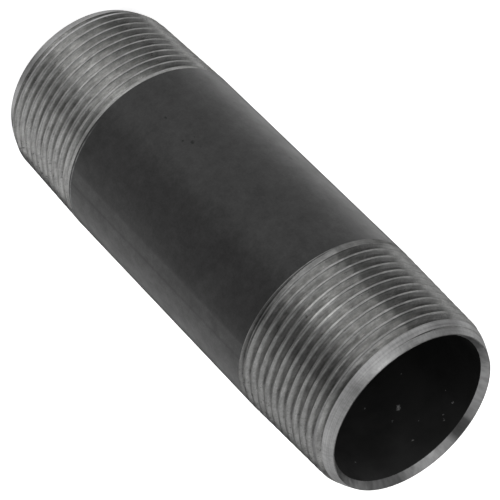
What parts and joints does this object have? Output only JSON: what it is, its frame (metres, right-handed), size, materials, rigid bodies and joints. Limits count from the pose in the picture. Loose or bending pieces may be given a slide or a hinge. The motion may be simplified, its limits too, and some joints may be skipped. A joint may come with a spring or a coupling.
{
  "type": "pipe nipple",
  "caption": "Short steel pipe with a tapered right-hand pipe thread on each end, for joining two threaded pipe fittings.",
  "frame": {"origin": "centre of the bottom end face, on the surface that the nipple stands on", "axes": "+Z along the pipe's axis, from the bottom end to the top end"},
  "size_m": [0.0422, 0.0422, 0.1159],
  "materials": {
    "black_steel": "satin black coat on the pipe and in the bore, bare cut steel on the threads and bevels"
  },
  "bodies": {
    "root": {"pipe_nipple": "black_steel"}
  },
  "joints": []
}
